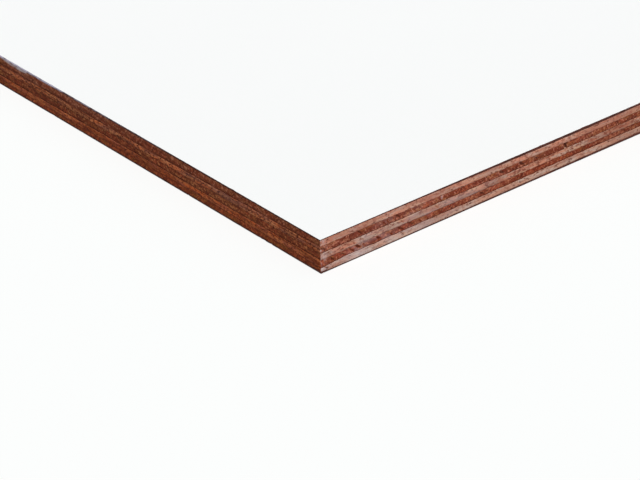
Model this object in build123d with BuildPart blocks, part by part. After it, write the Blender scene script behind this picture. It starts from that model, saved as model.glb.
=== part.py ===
from build123d import *
import os
from itertools import cycle

# Plywood sheet with a white laminate pressed onto both faces.
# It lies flat, with its long edges along X. The origin is on its underside,
# below the middle of the sheet, and every size is in millimetres.

# The sheet after it is pressed and trimmed
sheet_length = 2440
sheet_width = 1220

# Thickness of each layer, from the underside up
bottom_laminate_thickness = 0.45
back_ply_thickness = 2.15
lower_crossband_thickness = 2.2
core_ply_thickness = 2.3
upper_crossband_thickness = 2.15
face_ply_thickness = 2.3
top_laminate_thickness = 0.45

# A crossband's veneers are clipped to uneven widths, as they come off the log.
# They are laid side by side from the left end of the sheet, each one a hair
# from the last, and the trim saw cuts the last one off with the sheet.
upper_crossband_widths = [104, 640, 520, 700, 580]
lower_crossband_widths = [430, 560, 610, 380, 540]
veneer_joint = 0.6

left_end = -sheet_length / 2
right_end = sheet_length / 2


def cut_sheet():
    """Outline of a layer that is one piece over the whole sheet."""
    Rectangle(sheet_length, sheet_width)


def clipped_veneers(widths):
    """Outlines of the veneers of one crossband, side by side along the sheet."""
    stock = cycle(widths)
    near_side = left_end
    while near_side < right_end:
        far_side = min(near_side + next(stock), right_end)
        with Locations(((near_side + far_side) / 2, 0)):
            Rectangle(far_side - near_side, sheet_width)
        near_side = far_side + veneer_joint


os.makedirs("parts", exist_ok=True)

# Bottom laminate: the sheet lies on it
underside = 0
with BuildPart() as bottom_laminate:
    with BuildSketch(Plane.XY.offset(underside)):
        cut_sheet()
    extrude(amount=bottom_laminate_thickness)
bottom_laminate.part.label = "bottom_laminate"
export_step(bottom_laminate.part, "parts/bottom_laminate.step")

# Back ply: grain along the sheet
back_glue_line = underside + bottom_laminate_thickness
with BuildPart() as back_ply:
    with BuildSketch(Plane.XY.offset(back_glue_line)):
        cut_sheet()
    extrude(amount=back_ply_thickness)
back_ply.part.label = "back_ply"
export_step(back_ply.part, "parts/back_ply.step")

# Lower crossband: grain across the sheet
lower_glue_line = back_glue_line + back_ply_thickness
with BuildPart() as lower_crossband:
    with BuildSketch(Plane.XY.offset(lower_glue_line)):
        clipped_veneers(lower_crossband_widths)
    extrude(amount=lower_crossband_thickness)
lower_crossband.part.label = "lower_crossband"
export_step(lower_crossband.part, "parts/lower_crossband.step")

# Core ply: grain along the sheet
core_glue_line = lower_glue_line + lower_crossband_thickness
with BuildPart() as core_ply:
    with BuildSketch(Plane.XY.offset(core_glue_line)):
        cut_sheet()
    extrude(amount=core_ply_thickness)
core_ply.part.label = "core_ply"
export_step(core_ply.part, "parts/core_ply.step")

# Upper crossband: grain across the sheet
upper_glue_line = core_glue_line + core_ply_thickness
with BuildPart() as upper_crossband:
    with BuildSketch(Plane.XY.offset(upper_glue_line)):
        clipped_veneers(upper_crossband_widths)
    extrude(amount=upper_crossband_thickness)
upper_crossband.part.label = "upper_crossband"
export_step(upper_crossband.part, "parts/upper_crossband.step")

# Face ply: grain along the sheet
face_glue_line = upper_glue_line + upper_crossband_thickness
with BuildPart() as face_ply:
    with BuildSketch(Plane.XY.offset(face_glue_line)):
        cut_sheet()
    extrude(amount=face_ply_thickness)
face_ply.part.label = "face_ply"
export_step(face_ply.part, "parts/face_ply.step")

# Top laminate: the white face
top_glue_line = face_glue_line + face_ply_thickness
with BuildPart() as top_laminate:
    with BuildSketch(Plane.XY.offset(top_glue_line)):
        cut_sheet()
    extrude(amount=top_laminate_thickness)
top_laminate.part.label = "top_laminate"
export_step(top_laminate.part, "parts/top_laminate.step")
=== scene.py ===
# A sheet of plywood lying flat: five hardwood veneers glued with their grain crossed, and a white laminate on
# each face. The scene is in metres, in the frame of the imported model, and its layers are worked out in mm.
import math
import bpy
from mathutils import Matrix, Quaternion, Vector, noise
from mathutils.geometry import delaunay_2d_cdt


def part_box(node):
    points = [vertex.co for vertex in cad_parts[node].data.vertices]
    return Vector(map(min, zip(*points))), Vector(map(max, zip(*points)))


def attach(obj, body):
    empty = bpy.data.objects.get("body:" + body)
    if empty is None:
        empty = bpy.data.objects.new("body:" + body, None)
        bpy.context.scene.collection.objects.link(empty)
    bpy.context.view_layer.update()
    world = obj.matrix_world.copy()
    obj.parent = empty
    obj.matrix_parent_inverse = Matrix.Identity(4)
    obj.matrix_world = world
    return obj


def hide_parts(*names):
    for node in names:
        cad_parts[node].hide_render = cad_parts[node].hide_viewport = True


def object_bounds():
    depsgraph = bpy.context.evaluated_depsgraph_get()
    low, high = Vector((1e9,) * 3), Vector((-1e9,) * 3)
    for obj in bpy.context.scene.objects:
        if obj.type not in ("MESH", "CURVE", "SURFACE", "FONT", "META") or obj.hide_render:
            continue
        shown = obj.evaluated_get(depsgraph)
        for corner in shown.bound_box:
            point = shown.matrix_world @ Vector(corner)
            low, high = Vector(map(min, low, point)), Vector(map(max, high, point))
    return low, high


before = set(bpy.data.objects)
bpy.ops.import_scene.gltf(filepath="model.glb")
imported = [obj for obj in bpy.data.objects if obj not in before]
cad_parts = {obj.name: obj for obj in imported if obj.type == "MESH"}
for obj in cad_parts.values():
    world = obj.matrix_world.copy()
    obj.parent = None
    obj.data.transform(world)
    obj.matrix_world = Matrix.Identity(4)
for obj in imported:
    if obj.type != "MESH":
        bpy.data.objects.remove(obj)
cad_low, cad_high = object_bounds()


# Camera
# It looks down on the near corner, where the low X and the low Y edges meet, with a long lens from close by,
# held a little askew. The top of that corner is in the middle of the picture, so the lens has no shift.
camera_azimuth = math.radians(-38.37)
camera_elevation = math.radians(29.55)
camera_roll = math.radians(-1.9)
camera_distance = 0.731
camera_lens = 135
camera_film = 36
camera_nearest = 0.01
camera_furthest = 100


def direction(azimuth, elevation):
    """The way to what stands at that azimuth, from the front and growing to the right, and that elevation."""
    level = math.cos(elevation)
    return Vector((math.sin(azimuth) * level, -math.cos(azimuth) * level, math.sin(elevation)))


corner_top = Vector((cad_low.x, cad_low.y, cad_high.z))
to_camera = direction(camera_azimuth, camera_elevation)
camera = bpy.data.objects.new("camera", bpy.data.cameras.new("camera"))
camera.data.sensor_width = camera_film
camera.data.lens = camera_lens
camera.data.clip_start = camera_nearest
camera.data.clip_end = camera_furthest
camera.location = corner_top + to_camera * camera_distance
camera.rotation_mode = "QUATERNION"
upright = (-to_camera).to_track_quat("-Z", "Y")
camera.rotation_quaternion = upright @ Quaternion((0, 0, 1), camera_roll)
bpy.context.scene.collection.objects.link(camera)
bpy.context.scene.camera = camera
bpy.context.scene.view_settings.view_transform = "Standard"


# Studio light
# A soft lamp stands to the right behind the camera, so the long edge is lit and the short edge is in half
# shade. The room around is a dim grey for the sheet, and plain white for the camera and for reflections. The
# lamp itself stays out of reflections, or its glare would wash out the white face.
lamp_azimuth = math.radians(-17)
lamp_elevation = math.radians(47)
lamp_strength = 3.34
lamp_softness = math.radians(25)
room_light = 0.22
room_white = (0.985, 1.0, 0.992, 1.0)


def add(tree, kind, inputs=None, **settings):
    """Adds one shader node. Each input is set to a value, or linked where that is another node's output."""
    made = tree.nodes.new(kind)
    for name, value in settings.items():
        setattr(made, name, value)
    for name, value in (inputs or {}).items():
        if isinstance(value, bpy.types.NodeSocket):
            tree.links.new(value, made.inputs[name])
        else:
            made.inputs[name].default_value = value
    return made.outputs


def seen_directly(tree):
    """1 where the camera sees it, straight on, by reflection or through glass, and 0 where it only lights."""
    path = add(tree, "ShaderNodeLightPath")
    straight = {0: path["Is Camera Ray"], 1: path["Is Glossy Ray"]}
    seen = add(tree, "ShaderNodeMath", straight, operation="MAXIMUM")[0]
    return add(tree, "ShaderNodeMath", {0: seen, 1: path["Is Transmission Ray"]}, operation="MAXIMUM")[0]


lamp = bpy.data.objects.new("soft_lamp", bpy.data.lights.new("soft_lamp", "SUN"))
lamp.data.energy = lamp_strength
lamp.data.angle = lamp_softness
lamp.rotation_mode = "QUATERNION"
lamp.rotation_quaternion = (-direction(lamp_azimuth, lamp_elevation)).to_track_quat("-Z", "Y")
lamp.visible_glossy = False
bpy.context.scene.collection.objects.link(lamp)

room = bpy.data.worlds.new("room")
room.use_nodes = True
tree = room.node_tree
tree.nodes.clear()
strength = {"Value": seen_directly(tree), "To Min": room_light, "To Max": 1.0}
strength = add(tree, "ShaderNodeMapRange", strength)[0]
background = add(tree, "ShaderNodeBackground", {"Color": room_white, "Strength": strength})[0]
add(tree, "ShaderNodeOutputWorld", {"Surface": background})
bpy.context.scene.world = room


# Floor
# A plain white floor that runs out of sight. Part of its white is its own, for the camera alone,
# and the rest is lit, which keeps the sheet's shadow.
floor_reach = 150
floor_gap = 0.0001
floor_lit = 0.40
floor_own = 0.59
floor_white = (0.98, 1.0, 0.99, 1.0)

white_floor = bpy.data.materials.new("matt_white_floor")
white_floor.use_nodes = True
tree = white_floor.node_tree
tree.nodes.clear()
lit = add(tree, "ShaderNodeBsdfDiffuse", {"Color": (floor_lit, floor_lit, floor_lit, 1.0)})[0]
own = add(tree, "ShaderNodeMapRange", {"Value": seen_directly(tree), "To Min": 0.0, "To Max": floor_own})[0]
glow = add(tree, "ShaderNodeEmission", {"Color": floor_white, "Strength": own})[0]
both = add(tree, "ShaderNodeAddShader", {0: lit, 1: glow})[0]
add(tree, "ShaderNodeOutputMaterial", {"Surface": both})

floor_mesh = bpy.data.meshes.new("floor")
floor_corners = [(-1, -1), (1, -1), (1, 1), (-1, 1)]
floor_corners = [(x * floor_reach, y * floor_reach, -floor_gap) for x, y in floor_corners]
floor_mesh.from_pydata(floor_corners, [], [(0, 1, 2, 3)])
floor_mesh.materials.append(white_floor)
floor = bpy.data.objects.new("floor", floor_mesh)
bpy.context.scene.collection.objects.link(floor)


# Bottom laminate
# White decor paper on brown kraft paper, soaked in resin and pressed hard. It is glued to the underside of
# the veneers and sawn off flush with them, so its dark kraft shows as a thin line along the cut edges.
MM = 0.001

# How far apart the places of a layer's mesh are, in mm: on the two near edges for as far as the picture shows
# them, on the other cut edges, in the joints between veneers, and on the flat faces inside a rim.
close_step = 0.35
close_reach = 190
plain_step = 2.0
joint_step = 30.0
grid_step = 40
rim_width = 12

# The map for baked colours has the long thin cut edge in rows along its bottom, and the two flat faces side
# by side along its top. Its rows are a little longer than the edge needs, the joints between veneers are
# squeezed short in them, and each part has a bare border.
map_spare = 1.04
seam_squeeze = 0.02
row_start = 0.004
row_reach = 0.98
row_border = 0.06
face_width = 0.5
face_side_border = 0.003
face_end_border = 0.02


def in_mm(node):
    """A CAD node's box in mm: low x, low y, high x, high y, low z, high z."""
    low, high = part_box(node)
    return [round(c / MM, 3) for c in (low.x, low.y, high.x, high.y, low.z, high.z)]


def places_along(start, end, step, close_until=-math.inf):
    """Places along an edge in mm, both ends included, and closer together before close_until."""
    places = [start]
    while places[-1] < end:
        stride = close_step if places[-1] < close_until else step
        places.append(end if end - places[-1] < 1.5 * stride else places[-1] + stride)
    return places


def outline(pane, sheet):
    """The outline of a pane (low x, low y, high x, high y) in mm, anticlockwise from its low corner. Each of
    its places is x, y, the way in, the side that starts there, and the side whose cut it has. A side inside
    the sheet is a joint."""
    low_x, low_y, high_x, high_y = pane
    left = "left" if low_x == sheet[0] else "joint"
    right = "right" if high_x == sheet[2] else "joint"
    left_step, right_step = [joint_step if side == "joint" else plain_step for side in (left, right)]
    front_close = sheet[0] + close_reach
    left_close = sheet[1] + close_reach if left == "left" else -math.inf
    runs = [
        ([(x, low_y) for x in places_along(low_x, high_x, plain_step, front_close)], (0, 1), "front"),
        ([(high_x, y) for y in places_along(low_y, high_y, right_step)], (-1, 0), right),
        ([(x, high_y) for x in reversed(places_along(low_x, high_x, plain_step))], (0, -1), "back"),
        ([(low_x, y) for y in reversed(places_along(low_y, high_y, left_step, left_close))], (1, 0), left),
    ]
    places = []
    for n, (run, way_in, side) in enumerate(runs):
        before = runs[n - 1]
        corner_in = (way_in[0] + before[1][0], way_in[1] + before[1][1])
        places.append((*run[0], corner_in, side, before[2] if side == "joint" else side))
        places += [(x, y, way_in, side, side) for x, y in run[1:-1]]
    return places


def pressed_layer(name, panes, shares, levels, height, sink, slots, materials, on_map):
    """A layer of the sheet between two levels in mm, as one mesh with a closed shell for each pane. Its cut
    edge has a row of faces between each two shares of its thickness. height(x, y, share) is how high a place
    on that edge lies. sink(x, y, share, cut) is how deep in the saw left it, and how dark a pit it is in, as
    painted shade, or below 0 how pale a bruise. slots(side, share) picks the material. on_map is how many
    rows the cut edge has on the map for baked colours, and how much of the map's height the flat faces have."""
    low_x, low_y = min(pane[0] for pane in panes), min(pane[1] for pane in panes)
    high_x, high_y = max(pane[2] for pane in panes), max(pane[3] for pane in panes)
    map_rows, face_share = on_map
    row_length = map_spare * 2 * (high_x - low_x + high_y - low_y) / map_rows
    row_height = (1 - face_share) / map_rows
    points, upward, shades_stains_and_wear = [], [], []
    faces, places_on_map, face_slots, rounded = [], [], [], []
    run = 0.0

    for pane in panes:
        first, places = len(points), outline(pane, (low_x, low_y, high_x, high_y))
        for x, y, way_in, side, cut in places:
            for share in shares:
                deep, shade_stain_and_wear = sink(x, y, share, cut)
                points.append((x + way_in[0] * deep, y + way_in[1] * deep, height(x, y, share)))
                upward.append(share)
                shades_stains_and_wear.append(shade_stain_and_wear)
        for i, (x, y, way_in, side, cut) in enumerate(places):
            after = (i + 1) % len(places)
            length = math.dist((x, y), places[after][:2]) * (seam_squeeze if side == "joint" else 1)
            row, start = divmod(run, row_length)
            u = [row_start + row_reach * at / row_length for at in (start, start + length)]
            v = [row_height * (row + row_border + (1 - 2 * row_border) * share) for share in shares]
            for j in range(len(shares) - 1):
                here, there = first + i * len(shares) + j, first + after * len(shares) + j
                faces.append((here, there, there + 1, here + 1))
                places_on_map += [(u[0], v[j]), (u[1], v[j]), (u[1], v[j + 1]), (u[0], v[j + 1])]
                face_slots.append(slots(side, shares[j]))
                rounded.append(True)
            run += length

        inner = [
            (x, y)
            for x in places_along(pane[0] + rim_width, pane[2] - rim_width, grid_step)
            for y in places_along(pane[1] + rim_width, pane[3] - rim_width, grid_step)
        ]
        for top in (0, 1):
            ring = [first + i * len(shares) + top * (len(shares) - 1) for i in range(len(places))]
            flat = [Vector(points[p][:2]) for p in ring] + [Vector(p) for p in inner]
            numbers = ring + list(range(len(points), len(points) + len(inner)))
            points += [(x, y, levels[top]) for x, y in inner]
            upward += [float(top)] * len(inner)
            shades_stains_and_wear += [0.0] * len(inner)
            for triangle in delaunay_2d_cdt(flat, [], [list(range(len(ring)))], 1, 1e-6)[2]:
                corners = [numbers[c] for c in (triangle if top else reversed(triangle))]
                faces.append(corners)
                for corner in corners:
                    u = (points[corner][0] - low_x) / (high_x - low_x)
                    v = (points[corner][1] - low_y) / (high_y - low_y)
                    u = face_side_border + (face_width - 2 * face_side_border) * u + face_width * top
                    v = 1 - face_end_border - (1 - 2 * face_end_border) * v
                    places_on_map.append((u, 1 - face_share * v))
                face_slots.append(slots("top" if top else "underside", top))
                rounded.append(False)

    mesh = bpy.data.meshes.new(name)
    mesh.from_pydata([[c * MM for c in p] for p in points], [], faces)
    mesh.uv_layers.new(name="OFBake").uv.foreach_set("vector", [c for place in places_on_map for c in place])
    mesh.attributes.new("share_of_ply", "FLOAT", "POINT").data.foreach_set("value", upward)
    # Per point, a darkness that is painted shade in pits and checks, together with stains and dark joint
    # lines, or below 0 pale wear.
    mesh.attributes.new("shade_stain_and_wear", "FLOAT", "POINT").data.foreach_set("value", shades_stains_and_wear)
    for material in materials:
        mesh.materials.append(material)
    mesh.polygons.foreach_set("material_index", face_slots)
    mesh.polygons.foreach_set("use_smooth", rounded)
    mesh.update()
    made = bpy.data.objects.new(name, mesh)
    bpy.context.scene.collection.objects.link(made)
    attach(made, "root")
    return made


def linear(colour):
    """The linear colour of an sRGB hex value, as shaders take it."""
    parts = [int(colour[i : i + 2], 16) / 255 for i in (1, 3, 5)]
    return [p / 12.92 if p <= 0.04045 else ((p + 0.055) / 1.055) ** 2.4 for p in parts] + [1.0]


def new_material(name):
    """An empty material and its tree."""
    material = bpy.data.materials.new(name)
    material.use_nodes = True
    material.node_tree.nodes.clear()
    return material, material.node_tree


def noise_of(tree, size, turn=(0, 0, 0), detail=2.0, roughness=0.5):
    """Soft noise from 0 to 1 with blotches of that size in mm along X, Y and Z, after a turn."""
    place = add(tree, "ShaderNodeTexCoord")["Object"]
    place = {"Vector": place, "Scale": [s * MM for s in size], "Rotation": turn}
    place = add(tree, "ShaderNodeMapping", place, vector_type="TEXTURE")[0]
    blotches = {"Vector": place, "Scale": 1.0, "Detail": detail, "Roughness": roughness}
    return add(tree, "ShaderNodeTexNoise", blotches)[0]


def between(tree, value, low, high, to_low=0.0, to_high=1.0):
    """The value, spread smoothly so that low gives to_low and high gives to_high."""
    spread = {"Value": value, "From Min": low, "From Max": high, "To Min": to_low, "To Max": to_high}
    return add(tree, "ShaderNodeMapRange", spread, interpolation_type="SMOOTHSTEP")[0]


def blended(tree, factor, first, second):
    """The first colour, turning into the second as the factor rises. Each is a hex value or a link."""
    first, second = [linear(c) if isinstance(c, str) else c for c in (first, second)]
    return add(tree, "ShaderNodeMix", {0: factor, 6: first, 7: second}, data_type="RGBA")[2]


# High-pressure laminate with a satin melamine face: a clean white with a soft, slightly rippled gloss.
melamine, tree = new_material("satin_white_melamine")
ripple = noise_of(tree, (2.5, 2.5, 2.5))
cloud = noise_of(tree, (260, 180, 100), detail=3.0)
white = blended(tree, cloud, "#F7F8F8", "#FAFBFB")
gloss = between(tree, cloud, 0.3, 0.7, 0.36, 0.44)
bump = add(tree, "ShaderNodeBump", {"Height": ripple, "Strength": 0.08, "Distance": 0.02 * MM})[0]
satin = {"Base Color": white, "Roughness": gloss, "Normal": bump, "IOR": 1.5}
satin = add(tree, "ShaderNodeBsdfPrincipled", satin)[0]
add(tree, "ShaderNodeOutputMaterial", {"Surface": satin})

# The laminate's kraft layers where the saw cut them: almost black, with brown paper fibre in places, and
# lilac-grey where the edge is rubbed pale. The rubbed pale is wear; its lilac tint is painted cool light on
# white paper in shade.
kraft, tree = new_material("sawn_phenolic_kraft")
fibre = noise_of(tree, (3, 3, 0.3), detail=4.0)
brown = blended(tree, between(tree, fibre, 0.35, 0.7), "#381D18", "#60362E")
shade_stain_and_wear = add(tree, "ShaderNodeAttribute", attribute_name="shade_stain_and_wear")["Fac"]
# Rubbed pale wear, in a lilac that is painted cool light on white paper in shade.
brown = blended(tree, between(tree, shade_stain_and_wear, 0.0, -1.0), brown, "#DCD4EA")
bump = add(tree, "ShaderNodeBump", {"Height": fibre, "Strength": 0.3, "Distance": 0.05 * MM})[0]
sawn = {"Base Color": brown, "Roughness": 0.7, "Normal": bump, "IOR": 1.5, "Specular IOR Level": 0.12}
sawn = add(tree, "ShaderNodeBsdfPrincipled", sawn)[0]
add(tree, "ShaderNodeOutputMaterial", {"Surface": sawn})

# The near corner, from which all places along the two edges that meet there are counted in mm.
near_x, near_y = in_mm("bottom_laminate")[:2]

# Veneers are never quite even in thickness, so each glue line swells up and down on its way along those two
# edges. A swelling is the edge that it is on, and its middle, its reach and its lift in mm.
uneven = {
    in_mm("bottom_laminate")[5]: [("front", 0, 2.5, 0.4), ("front", 0, 45, -0.15), ("front", 125, 45, 0.35)],
    in_mm("lower_crossband")[4]: [
        ("front", 0, 5, -0.45),
        ("front", 0, 45, -0.05),
        ("front", 125, 35, 0.4),
        ("left", 20, 45, -0.25),
        ("left", 170, 90, -0.65),
    ],
    in_mm("core_ply")[4]: [("front", 55, 25, -0.12), ("left", 50, 40, -0.3), ("left", 170, 90, -1.25)],
    in_mm("upper_crossband")[4]: [
        ("front", 0, 45, 0.05),
        ("front", 110, 60, -0.3),
        ("left", 62, 35, -0.35),
        ("left", 170, 90, -0.8),
    ],
    in_mm("face_ply")[4]: [
        ("front", 0, 45, 0.3),
        ("front", 110, 60, -0.35),
        ("left", 85, 35, -0.4),
        ("left", 165, 100, -1.2),
    ],
    in_mm("top_laminate")[4]: [("front", 0, 45, 0.15), ("front", 105, 55, -0.6), ("left", 170, 90, -0.3)],
}
swelling_depth = 5

# Glue lines wander as well, slowly and quickly. Each way is a spacing and a height in mm. The two that lie
# against a laminate wander less, because a laminate is even.
wanderings = ((28, 0.12), (2.5, 0.14))
outer_glue_lines = (in_mm("bottom_laminate")[5], in_mm("top_laminate")[4])
outer_wandering = 0.3

# Something pale has rubbed along the top of the short edge. Each scuff is its middle and its reach in mm, and
# its strength. It is patchy, and the stronger it is, the deeper below the top it shows.
scuffs = ((169, 15, 1.35), (150, 15, 0.9), (125, 30, 0.55), (90, 17, 0.35))
scuff_patches = (2.4, 0.6, 1)
scuff_cover = 0.85
scuff_contrast = 1.1
scuff_depth = 0.7
scuff_top = 0.5
scuff_spread = 1.3


def patches(x, y, z, size):
    """Soft noise from -1 to 1, with patches of that size in mm along each of the three. A pattern over only
    two of them has any number as its third, which keeps it apart from others, and 1 as the third size."""
    return noise.noise(Vector((x / size[0], y / size[1], z / size[2])))


def clamped(value):
    """The value, kept from 0 to 1."""
    return min(1.0, max(0.0, value))


def fading(away, reach):
    """1 where away is 0, fading to about a third where away is the reach."""
    return math.exp(-((away / reach) ** 2))


def swelling(swellings, edge, place):
    """What the swellings on an edge add up to at a place, each with its last value at its middle."""
    on_edge = [rest for on, *rest in swellings if on == edge]
    return sum(most * fading(place - middle, reach) for middle, reach, most in on_edge)


def glue_line(x, y, level):
    """How high the glue line at that level lies."""
    along_x, along_y = x - near_x, y - near_y
    lift = swelling(uneven[level], "front", along_x) * fading(along_y, swelling_depth)
    lift += swelling(uneven[level], "left", along_y) * fading(along_x, swelling_depth)
    wander = sum(high * patches(x, y, level, (spacing, spacing, 1)) for spacing, high in wanderings)
    return level + lift + (outer_wandering * wander if level in outer_glue_lines else wander)


def scuff(s, z):
    """How scuffed the short edge is, s mm along it from the near corner and z mm up."""
    rubbed = max(strength * fading(s - middle, reach) for middle, reach, strength in scuffs)
    patchy = clamped(scuff_cover + scuff_contrast * patches(s, z, 7.5, scuff_patches))
    return rubbed * patchy * clamped((z - cad_high.z / MM) / scuff_depth + scuff_top + scuff_spread * rubbed)


# The rows of a laminate's cut edge, from its glue line out. The outermost is the white decor paper.
decor_share = 0.94
laminate_shares = (0.0, 0.3, 0.6, decor_share, 1.0)
laminate_map = (43, 0.78)

# The saw leaves a laminate a little rough, and chips it in places, most of all along its outer face. Chips
# come in clusters. Sizes and depths are in mm.
saw_marks = (0.8, 0.8, 1)
saw_rows = 3
saw_roughness = 0.015
chip_size = (1.7, 1.7, 1)
cluster_size = (9, 9, 1)
cluster_part = 0.6
chip_rarity = 0.45
chip_depth = 0.3


def laminate(name, node, decor_up):
    """One laminate on the sheet, with its decor up or down."""
    low_x, low_y, high_x, high_y, low_z, high_z = in_mm(node)

    def height(x, y, share):
        low = glue_line(x, y, low_z) if decor_up else low_z
        high = high_z if decor_up else glue_line(x, y, high_z)
        return low + (high - low) * share

    def sink(x, y, share, cut):
        chip = patches(x, y, low_z, chip_size) + cluster_part * patches(x, y, low_z, cluster_size)
        outer = share if decor_up else 1 - share
        rough = saw_roughness * (1 + patches(x, y, share * saw_rows, saw_marks))
        shade_stain_and_wear = -scuff(y - near_y, low_z + (high_z - low_z) * share) if cut == "left" else 0.0
        return rough + max(0.0, chip - chip_rarity) * chip_depth * outer ** 2, shade_stain_and_wear

    def slots(side, share):
        decor = share == decor_share if decor_up else share == 0
        outer_face = side == ("top" if decor_up else "underside")
        return 0 if outer_face or (decor and side not in ("top", "underside")) else 1

    shares = laminate_shares if decor_up else [round(1 - s, 3) for s in reversed(laminate_shares)]
    panes = [(low_x, low_y, high_x, high_y)]
    materials = [melamine, kraft]
    made = pressed_layer(name, panes, shares, (low_z, high_z), height, sink, slots, materials, laminate_map)
    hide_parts(node)


laminate("bottom_white_laminate", "bottom_laminate", False)


# Back veneer
# Hardwood peeled off a turning log, with its grain along the sheet, glued on hot under a press. The saw
# leaves its long grain smooth on the long edges, and tears its end grain on the short edges.
veneer_rows = 8
veneer_shares = [row / veneer_rows for row in range(veneer_rows + 1)]
veneer_map = (51, 0.12)

# Lathe checks are the slanting cracks that the knife opens in a veneer as it bends off the log. Spacing and
# width are in mm, and reach and tip in shares of the thickness. The slant is how far they lean for each mm
# up, and the shift is how far they stray from even spacing, as a share of it. A pair is a least value and
# what chance adds to it.
check_spacing = 2.6
check_slant = 0.75
check_shift = 0.4
check_width = (0.16, 0.18)
check_reach = (0.35, 0.6)
check_tip = 0.12
smallest_check = 0.35
# How dark a check is painted: shade inside the crack, painted on.
painted_check_shade = 0.9

# The widest pits are leaning ovals. The lean is in mm from the bottom of the veneer to its top. The shift and
# half the height are in shares of its thickness, and half the width in shares of the pit's length. The last
# two pairs are how long a pit is, in mm, and how dark its painted shade is, in long grain and in end grain.
mark_lean = (2.4, 0.8)
mark_width = (0.45, 0.2)
mark_shift = 0.15
mark_height = 0.4
mark_sharpness = 1.5
long_grain_mark = (0.7, 0.45)
end_grain_mark = (1.1, 0.85)

# The near corner is bruised, most of all at its tip.
crushed_length = 4.0
crushed_patches = (0.8, 0.8, 1)
crushed_cover = 0.12
crushed_contrast = 0.6

# What the saw leaves, in mm: long grain is cut smooth, and end grain is torn into tufts. The end grain of a
# veneer that lies along the sheet tears less than that of a crossband. The darkest pit would be as deep as
# the pit depth, and the palest bruise as deep as the bruise depth.
smooth_cut = 0.02
smooth_patches = (5, 0.5, 1)
torn_cut = 0.08
tuft_depth = 0.05
tuft_size = (0.7, 0.7, 0.6)
torn_along_sheet = 0.6
pit_depth = 0.25
bruise_depth = 0.05

# A joint between two veneers is dark inside, and shows on the long edges as a ragged dark line.
joint_darkness = 0.7
joint_line_darkness = 0.75
joint_line_width = (0.9, 0.4)
joint_line_patches = (3, 3, 0.7)

# Stains and rubbed places are mottled, and don't show inside the painted shade of a pit.
mottling = (6, 1.5, 1)
darkest_stained = 0.3


def checks(s, share, thickness, seed):
    """How deep a place lies in a lathe check, from 0 to 1, where s is the place along the edge in mm."""
    along = s + check_slant * thickness * (share - 0.5)
    deepest = 0.0
    for cell in (math.floor(along / check_spacing) + k for k in (-1, 0, 1)):
        where, size, reach = noise.cell_vector(Vector((cell + 0.5, seed + 0.5, 0.5)))
        reach = check_reach[0] + check_reach[1] * reach
        if share > reach or size < smallest_check:
            continue
        middle = (cell + 0.5 + check_shift * where) * check_spacing
        away = abs(along - middle) / (check_width[0] + check_width[1] * size)
        deepest = max(deepest, size * (1 - away) * min(1.0, (reach - share) / check_tip))
    return max(0.0, deepest)


def marks(s, share, places, length, darkness):
    """How deep a place lies in one of the widest pits, which stand at places of their own along the edge."""
    deepest = 0.0
    for n, place in enumerate(places):
        where, size, slant = noise.cell_vector(Vector((place + 0.5, n + 0.5, 1.5)))
        leaning = s - place + (mark_lean[0] + mark_lean[1] * slant) * (share - 0.5)
        across = leaning / (length * (mark_width[0] + mark_width[1] * size))
        upright = (share - 0.5 - mark_shift * where) / mark_height
        deepest = max(deepest, 1 - across ** 2 - upright ** 2)
    return darkness * clamped(deepest * mark_sharpness)


def crushed(s, z):
    """How crushed the near corner is, s from it along the long edge."""
    patchy = crushed_cover + crushed_contrast * patches(s, z, 3.5, crushed_patches)
    return max(0.0, patchy) * max(0.0, 1 - s / crushed_length)


def timber(tree, colour, height_of_grain, relief, glue, glue_reach):
    """The finish that all veneers share. It is dull, with painted shade in its pits, and darker along the
    glue lines.
    """
    shade_stain_and_wear = add(tree, "ShaderNodeAttribute", attribute_name="shade_stain_and_wear")["Fac"]
    share = add(tree, "ShaderNodeAttribute", attribute_name="share_of_ply")["Fac"]
    patchy = noise_of(tree, (7, 7, 5), detail=3.0)
    below = between(tree, share, 0.0, glue_reach[0], 1.0, 0.0)
    above = between(tree, share, 1 - glue_reach[1], 1.0)
    line = add(tree, "ShaderNodeMath", {0: below, 1: above}, operation="MAXIMUM")[0]
    soaked = between(tree, patchy, 0.3, 0.6, 0.35, 0.95)
    line = add(tree, "ShaderNodeMath", {0: line, 1: soaked}, operation="MULTIPLY")[0]
    colour = blended(tree, line, colour, glue)
    # Painted shade: pits and checks are darkened towards this brown, as are dark joint lines and stains.
    colour = blended(tree, shade_stain_and_wear, colour, "#3A1B14")
    colour = blended(tree, between(tree, shade_stain_and_wear, 0.0, -1.0), colour, "#CABFC1")
    bump = {"Height": height_of_grain, "Strength": 0.6, "Distance": relief * MM}
    bump = add(tree, "ShaderNodeBump", bump)[0]
    wood = {"Base Color": colour, "Roughness": 0.82, "Normal": bump, "IOR": 1.45, "Specular IOR Level": 0.1}
    wood = add(tree, "ShaderNodeBsdfPrincipled", wood)[0]
    add(tree, "ShaderNodeOutputMaterial", {"Surface": wood})


def grain_size(along, length, across):
    """Sizes in mm along X, Y and Z of something that is long along the grain."""
    return (length, across, across) if along == "X" else (across, length, across)


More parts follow.
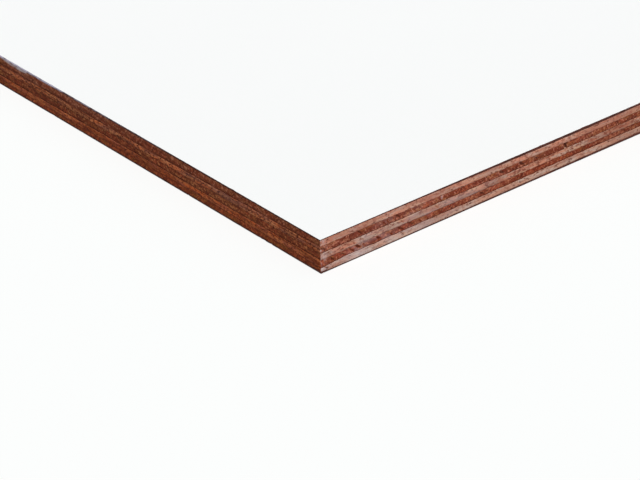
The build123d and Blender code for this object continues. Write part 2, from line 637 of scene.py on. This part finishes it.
# Long grain: silky lines and soft patches run along the veneer, with short dark pores. The pores are drawn
# about twice as coarse as real ones, so that they show. The grey patches are a painted sheen, standing in for
# light that the smooth long grain reflects.
def long_grain(name, along, pale, warm, painted_sheen_grey, dark, streaky, speckled):
    material, tree = new_material(name)
    tone = noise_of(tree, grain_size(along, 18, 4), detail=2.0)
    patch = noise_of(tree, grain_size(along, 8, 1.4), detail=3.0)
    painted_sheen = noise_of(tree, grain_size(along, 7, 1.2), turn=(0.1, 0.1, 0.1), detail=3.0)
    streak = noise_of(tree, grain_size(along, 6 + 8 * streaky, 0.6), detail=4.0, roughness=0.65)
    speck = noise_of(tree, grain_size(along, 1.3, 0.8), detail=3.0, roughness=0.7)
    pore = noise_of(tree, grain_size(along, 1.4, 0.6), turn=(0.2, 0.2, 0.2), detail=1.0)
    colour = blended(tree, between(tree, patch, 0.38, 0.62), pale, warm)
    # Painted sheen: grey patches where the smooth long grain would reflect light.
    colour = blended(tree, between(tree, painted_sheen, 0.45, 0.62), colour, painted_sheen_grey)
    colour = blended(tree, between(tree, tone, 0.4, 0.64, 0.0, 0.5), colour, dark)
    colour = blended(tree, between(tree, streak, 0.46, 0.62, 0.0, streaky), colour, dark)
    colour = blended(tree, between(tree, speck, 0.48, 0.62, 0.0, speckled), colour, dark)
    colour = blended(tree, between(tree, pore, 0.62, 0.7, 0.0, 0.8), colour, "#5A3226")
    timber(tree, colour, streak, relief=0.05, glue="#6E2A12", glue_reach=(0.05, 0.05))
    return material


# End grain: cut-off fibres make a rough, speckled, darker face, with slanting checks from the lathe, and they
# soak up glue from the lines above and below. The fibres are drawn in tufts of about a millimetre, so that
# they show.
def end_grain(name, along, brown, dark, bright, olive, glue_reach):
    material, tree = new_material(name)
    slant = (0, math.radians(38), 0) if along == "Y" else (math.radians(38), 0, 0)
    tone = noise_of(tree, (22, 22, 4), detail=3.0)
    band = noise_of(tree, (7, 7, 3), turn=(0.3, 0.3, 0.3), detail=3.0)
    blotch = noise_of(tree, (3.4, 3.4, 1.2), detail=3.0)
    fibre = noise_of(tree, (1.0, 1.0, 0.7), detail=3.0, roughness=0.75)
    check = noise_of(tree, (0.6, 0.6, 2.6), turn=slant, detail=2.0)
    fleck = noise_of(tree, (1.2, 1.2, 0.6), turn=(0.7, 0.7, 0.7), detail=2.0)
    colour = blended(tree, between(tree, band, 0.42, 0.58), brown, olive)
    colour = blended(tree, between(tree, tone, 0.48, 0.64, 0.0, 0.6), colour, bright)
    colour = blended(tree, between(tree, blotch, 0.45, 0.62, 0.0, 0.8), colour, dark)
    colour = blended(tree, between(tree, fibre, 0.4, 0.62, 0.9, 0.0), colour, dark)
    colour = blended(tree, between(tree, fleck, 0.54, 0.68, 0.0, 0.7), colour, bright)
    colour = blended(tree, between(tree, check, 0.58, 0.7, 0.0, 0.8), colour, "#4A2318")
    timber(tree, colour, fibre, relief=0.12, glue="#4C1D0C", glue_reach=glue_reach)
    return material


# Peeled face: a broad, quiet figure, because the knife follows the growth rings round the log. No glue line
# crosses it.
def peeled_face(name, along, pale, warm):
    material, tree = new_material(name)
    figure = noise_of(tree, grain_size(along, 700, 60), detail=2.0)
    colour = blended(tree, between(tree, figure, 0.35, 0.65), pale, warm)
    timber(tree, colour, figure, relief=0.02, glue=pale, glue_reach=(0.0001, 0.0001))
    return material


def veneer(name, node, grain, panes, tones, end_marks, side_marks, materials):
    """One layer of veneer, with its grain along X or Y. The tones are swellings in which the edge is stained
    dark, or below 0 rubbed pale. The marks are places of pits on the short and on the long edge."""
    low_z, high_z = in_mm(node)[4:]
    joints = [pane[0] for pane in panes[1:]]

    def height(x, y, share):
        low, high = glue_line(x, y, low_z), glue_line(x, y, high_z)
        return low + (high - low) * share

    def sink(x, y, share, cut):
        if cut == "joint":
            return 0.0, joint_darkness
        on_long_edge = cut in ("front", "back")
        s, places = (x - near_x, side_marks) if on_long_edge else (y - near_y, end_marks)
        places = places if cut in ("front", "left") and s < close_reach else []
        z = low_z + (high_z - low_z) * share
        # The darkness of pits and checks is painted shade inside them. Tones add stains, and bruises and
        # scuffs are pale wear.
        if (grain == "X") == on_long_edge:
            rough = smooth_cut + smooth_cut * patches(s, z, low_z, smooth_patches)
            shade_stain_and_wear = marks(s, share, places, *long_grain_mark)
        else:
            rough = torn_cut + tuft_depth * patches(x, y, z, tuft_size)
            torn = 1.0 if grain == "Y" else torn_along_sheet
            shade_stain_and_wear = torn * marks(s, share, places, *end_grain_mark)
            shade_stain_and_wear = max(shade_stain_and_wear, painted_check_shade * torn * checks(s, share, high_z - low_z, low_z + len(cut)))
            ragged = joint_line_width[0] + joint_line_width[1] * patches(x, y, z, joint_line_patches)
            lines = [joint_line_darkness - abs(x - joint) / ragged for joint in joints if on_long_edge]
            shade_stain_and_wear = max([shade_stain_and_wear] + lines)
        if shade_stain_and_wear < darkest_stained and cut in ("front", "left"):
            mottled = 1 + patches(s, z, 5.5, mottling)
            hurt = crushed(s, z) if cut == "front" else scuff(s, z)
            shade_stain_and_wear += mottled * swelling(tones, cut, s) - hurt
        return rough + (pit_depth if shade_stain_and_wear > 0 else bruise_depth) * abs(shade_stain_and_wear), shade_stain_and_wear

    def slots(side, share):
        if side in ("top", "underside", "joint"):
            return 2
        return 0 if (grain == "X") == (side in ("front", "back")) else 1

    levels = (low_z, high_z)
    made = pressed_layer(name, panes, veneer_shares, levels, height, sink, slots, materials, veneer_map)
    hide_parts(node)
    return made


whole_sheet = [in_mm("back_ply")[:4]]
back_materials = [
    # The pale and warm long-grain tones of this veneer carry a painted whitish sheen.
    long_grain("long_grain_veneer_back", "X", "#BE9884", "#BC8872", "#BAA092", "#8E5E4E", 0.5, 0.75),
    end_grain("end_grain_veneer_back", "X", "#A65432", "#6E2E1C", "#B8603A", "#945A2C", (0.02, 0.12)),
    peeled_face("peeled_veneer_back", "X", "#B48C7C", "#B08070"),
]
made = veneer(
    "back_veneer",
    "back_ply",
    grain="X",
    panes=whole_sheet,
    tones=[("front", 0, 70, -0.3)],
    end_marks=[52.2, 103.3],
    side_marks=[2.7, 33.7, 78.0, 86.9],
    materials=back_materials,
)


# Lower crossband veneers
# Veneers of the same wood laid side by side with their grain across the sheet, to stop it from moving as it
# dries. They are clipped to uneven widths, so a hairline joint stands between each two.
def side_by_side(node):
    """The panes of a crossband in mm, read from the X where its CAD solids start and end."""
    low_y, high_y = in_mm(node)[1], in_mm(node)[3]
    solid = bpy.data.objects[node]
    cuts = sorted({round((solid.matrix_world @ v.co).x / MM, 2) for v in solid.data.vertices})
    return [(start, low_y, end, high_y) for start, end in zip(cuts[::2], cuts[1::2])]


cross_materials = [
    long_grain("long_grain_crossband_lower", "Y", "#CA7648", "#C86436", "#AE6046", "#5A2410", 0.65, 0.85),
    end_grain("end_grain_crossband_lower", "Y", "#A45035", "#6A2A1C", "#B8765C", "#945633", (0.3, 0.08)),
    peeled_face("peeled_crossband_lower", "Y", "#9A5C42", "#945038"),
]
made = veneer(
    "lower_crossband_veneers",
    "lower_crossband",
    grain="Y",
    panes=side_by_side("lower_crossband"),
    tones=[("front", 24, 24, -0.18), ("front", 135, 40, 0.15)],
    end_marks=[103.9, 127.7],
    side_marks=[4.7, 9.0, 12.5, 15.5, 23.6, 32.6, 37.3, 67.2],
    materials=cross_materials,
)


# Core veneer
# The middle of the sheet. It is the same hardwood, with its grain along the sheet again, glued between the
# two crossbands and trimmed with them.
core_materials = [
    # The pale and warm long-grain tones of this veneer carry a painted whitish sheen.
    long_grain("long_grain_veneer_core", "X", "#C0947A", "#C08068", "#B69686", "#7A4232", 0.5, 0.95),
    end_grain("end_grain_veneer_core", "X", "#AA5434", "#652A19", "#C88254", "#9B5C34", (0.4, 0.06)),
    peeled_face("peeled_veneer_core", "X", "#B28A78", "#AE7C68"),
]
made = veneer(
    "core_veneer",
    "core_ply",
    grain="X",
    panes=whole_sheet,
    tones=[("front", 0, 70, -0.17), ("front", 55, 22, -0.13), ("left", 150, 60, 0.2)],
    end_marks=[6.4, 14.1, 24.2],
    side_marks=[3.5, 13.3, 16.8, 33.3, 47.8],
    materials=core_materials,
)


# Upper crossband veneers
# The second layer of clipped veneers, with its grain across the sheet. Its first veneer is a narrow one, and
# the joint beside it shows on the long edge. A pale splinter stands out nearer to the corner.
cross_materials = [
    long_grain("long_grain_crossband_upper", "Y", "#DC8C5E", "#DA7646", "#B67258", "#4C1C10", 0.75, 1.0),
    end_grain("end_grain_crossband_upper", "Y", "#A8583D", "#692B1E", "#C07E69", "#9C603C", (0.2, 0.08)),
    peeled_face("peeled_crossband_upper", "Y", "#9A5C42", "#945038"),
]
splinter = ("front", 49.8, 0.45, -0.27)
made = veneer(
    "upper_crossband_veneers",
    "upper_crossband",
    grain="Y",
    panes=side_by_side("upper_crossband"),
    tones=[
        ("front", 32, 16, -0.14),
        splinter,
        ("front", 135, 40, 0.12),
        ("left", 57, 35, -0.1),
        ("left", 165, 60, 0.1),
    ],
    end_marks=[11.9, 35.2, 55.4],
    side_marks=[16.3, 31.8, 75.7, 84.8, 1.2, 91.3, 76.3, 85.2],
    materials=cross_materials,
)


# Face veneer
# The veneer under the white face, with its grain along the sheet. It is the last one glued on, and resin from
# the laminate has soaked into its end grain.
face_materials = [
    # The pale and warm long-grain tones of this veneer carry a painted whitish sheen.
    long_grain("long_grain_veneer_face", "X", "#C5967E", "#C98770", "#C09E8F", "#945A49", 0.5, 0.85),
    end_grain("end_grain_veneer_face", "X", "#A8573A", "#6D301C", "#C28064", "#9B603D", (0.42, 0.1)),
    peeled_face("peeled_veneer_face", "X", "#B28A78", "#B47E68"),
]
made = veneer(
    "face_veneer",
    "face_ply",
    grain="X",
    panes=whole_sheet,
    tones=[("front", 30, 40, -0.08), ("left", 145, 45, 0.19)],
    end_marks=[21.1, 39.8, 121.0],
    side_marks=[3.5, 42.4, 57.0, 86.4, 113.5],
    materials=face_materials,
)


# Top laminate
# The same white laminate, pressed onto the upper face with its decor paper up, and sawn off flush with the
# veneers. It is the white face of the sheet.
laminate("top_white_laminate", "top_laminate", True)
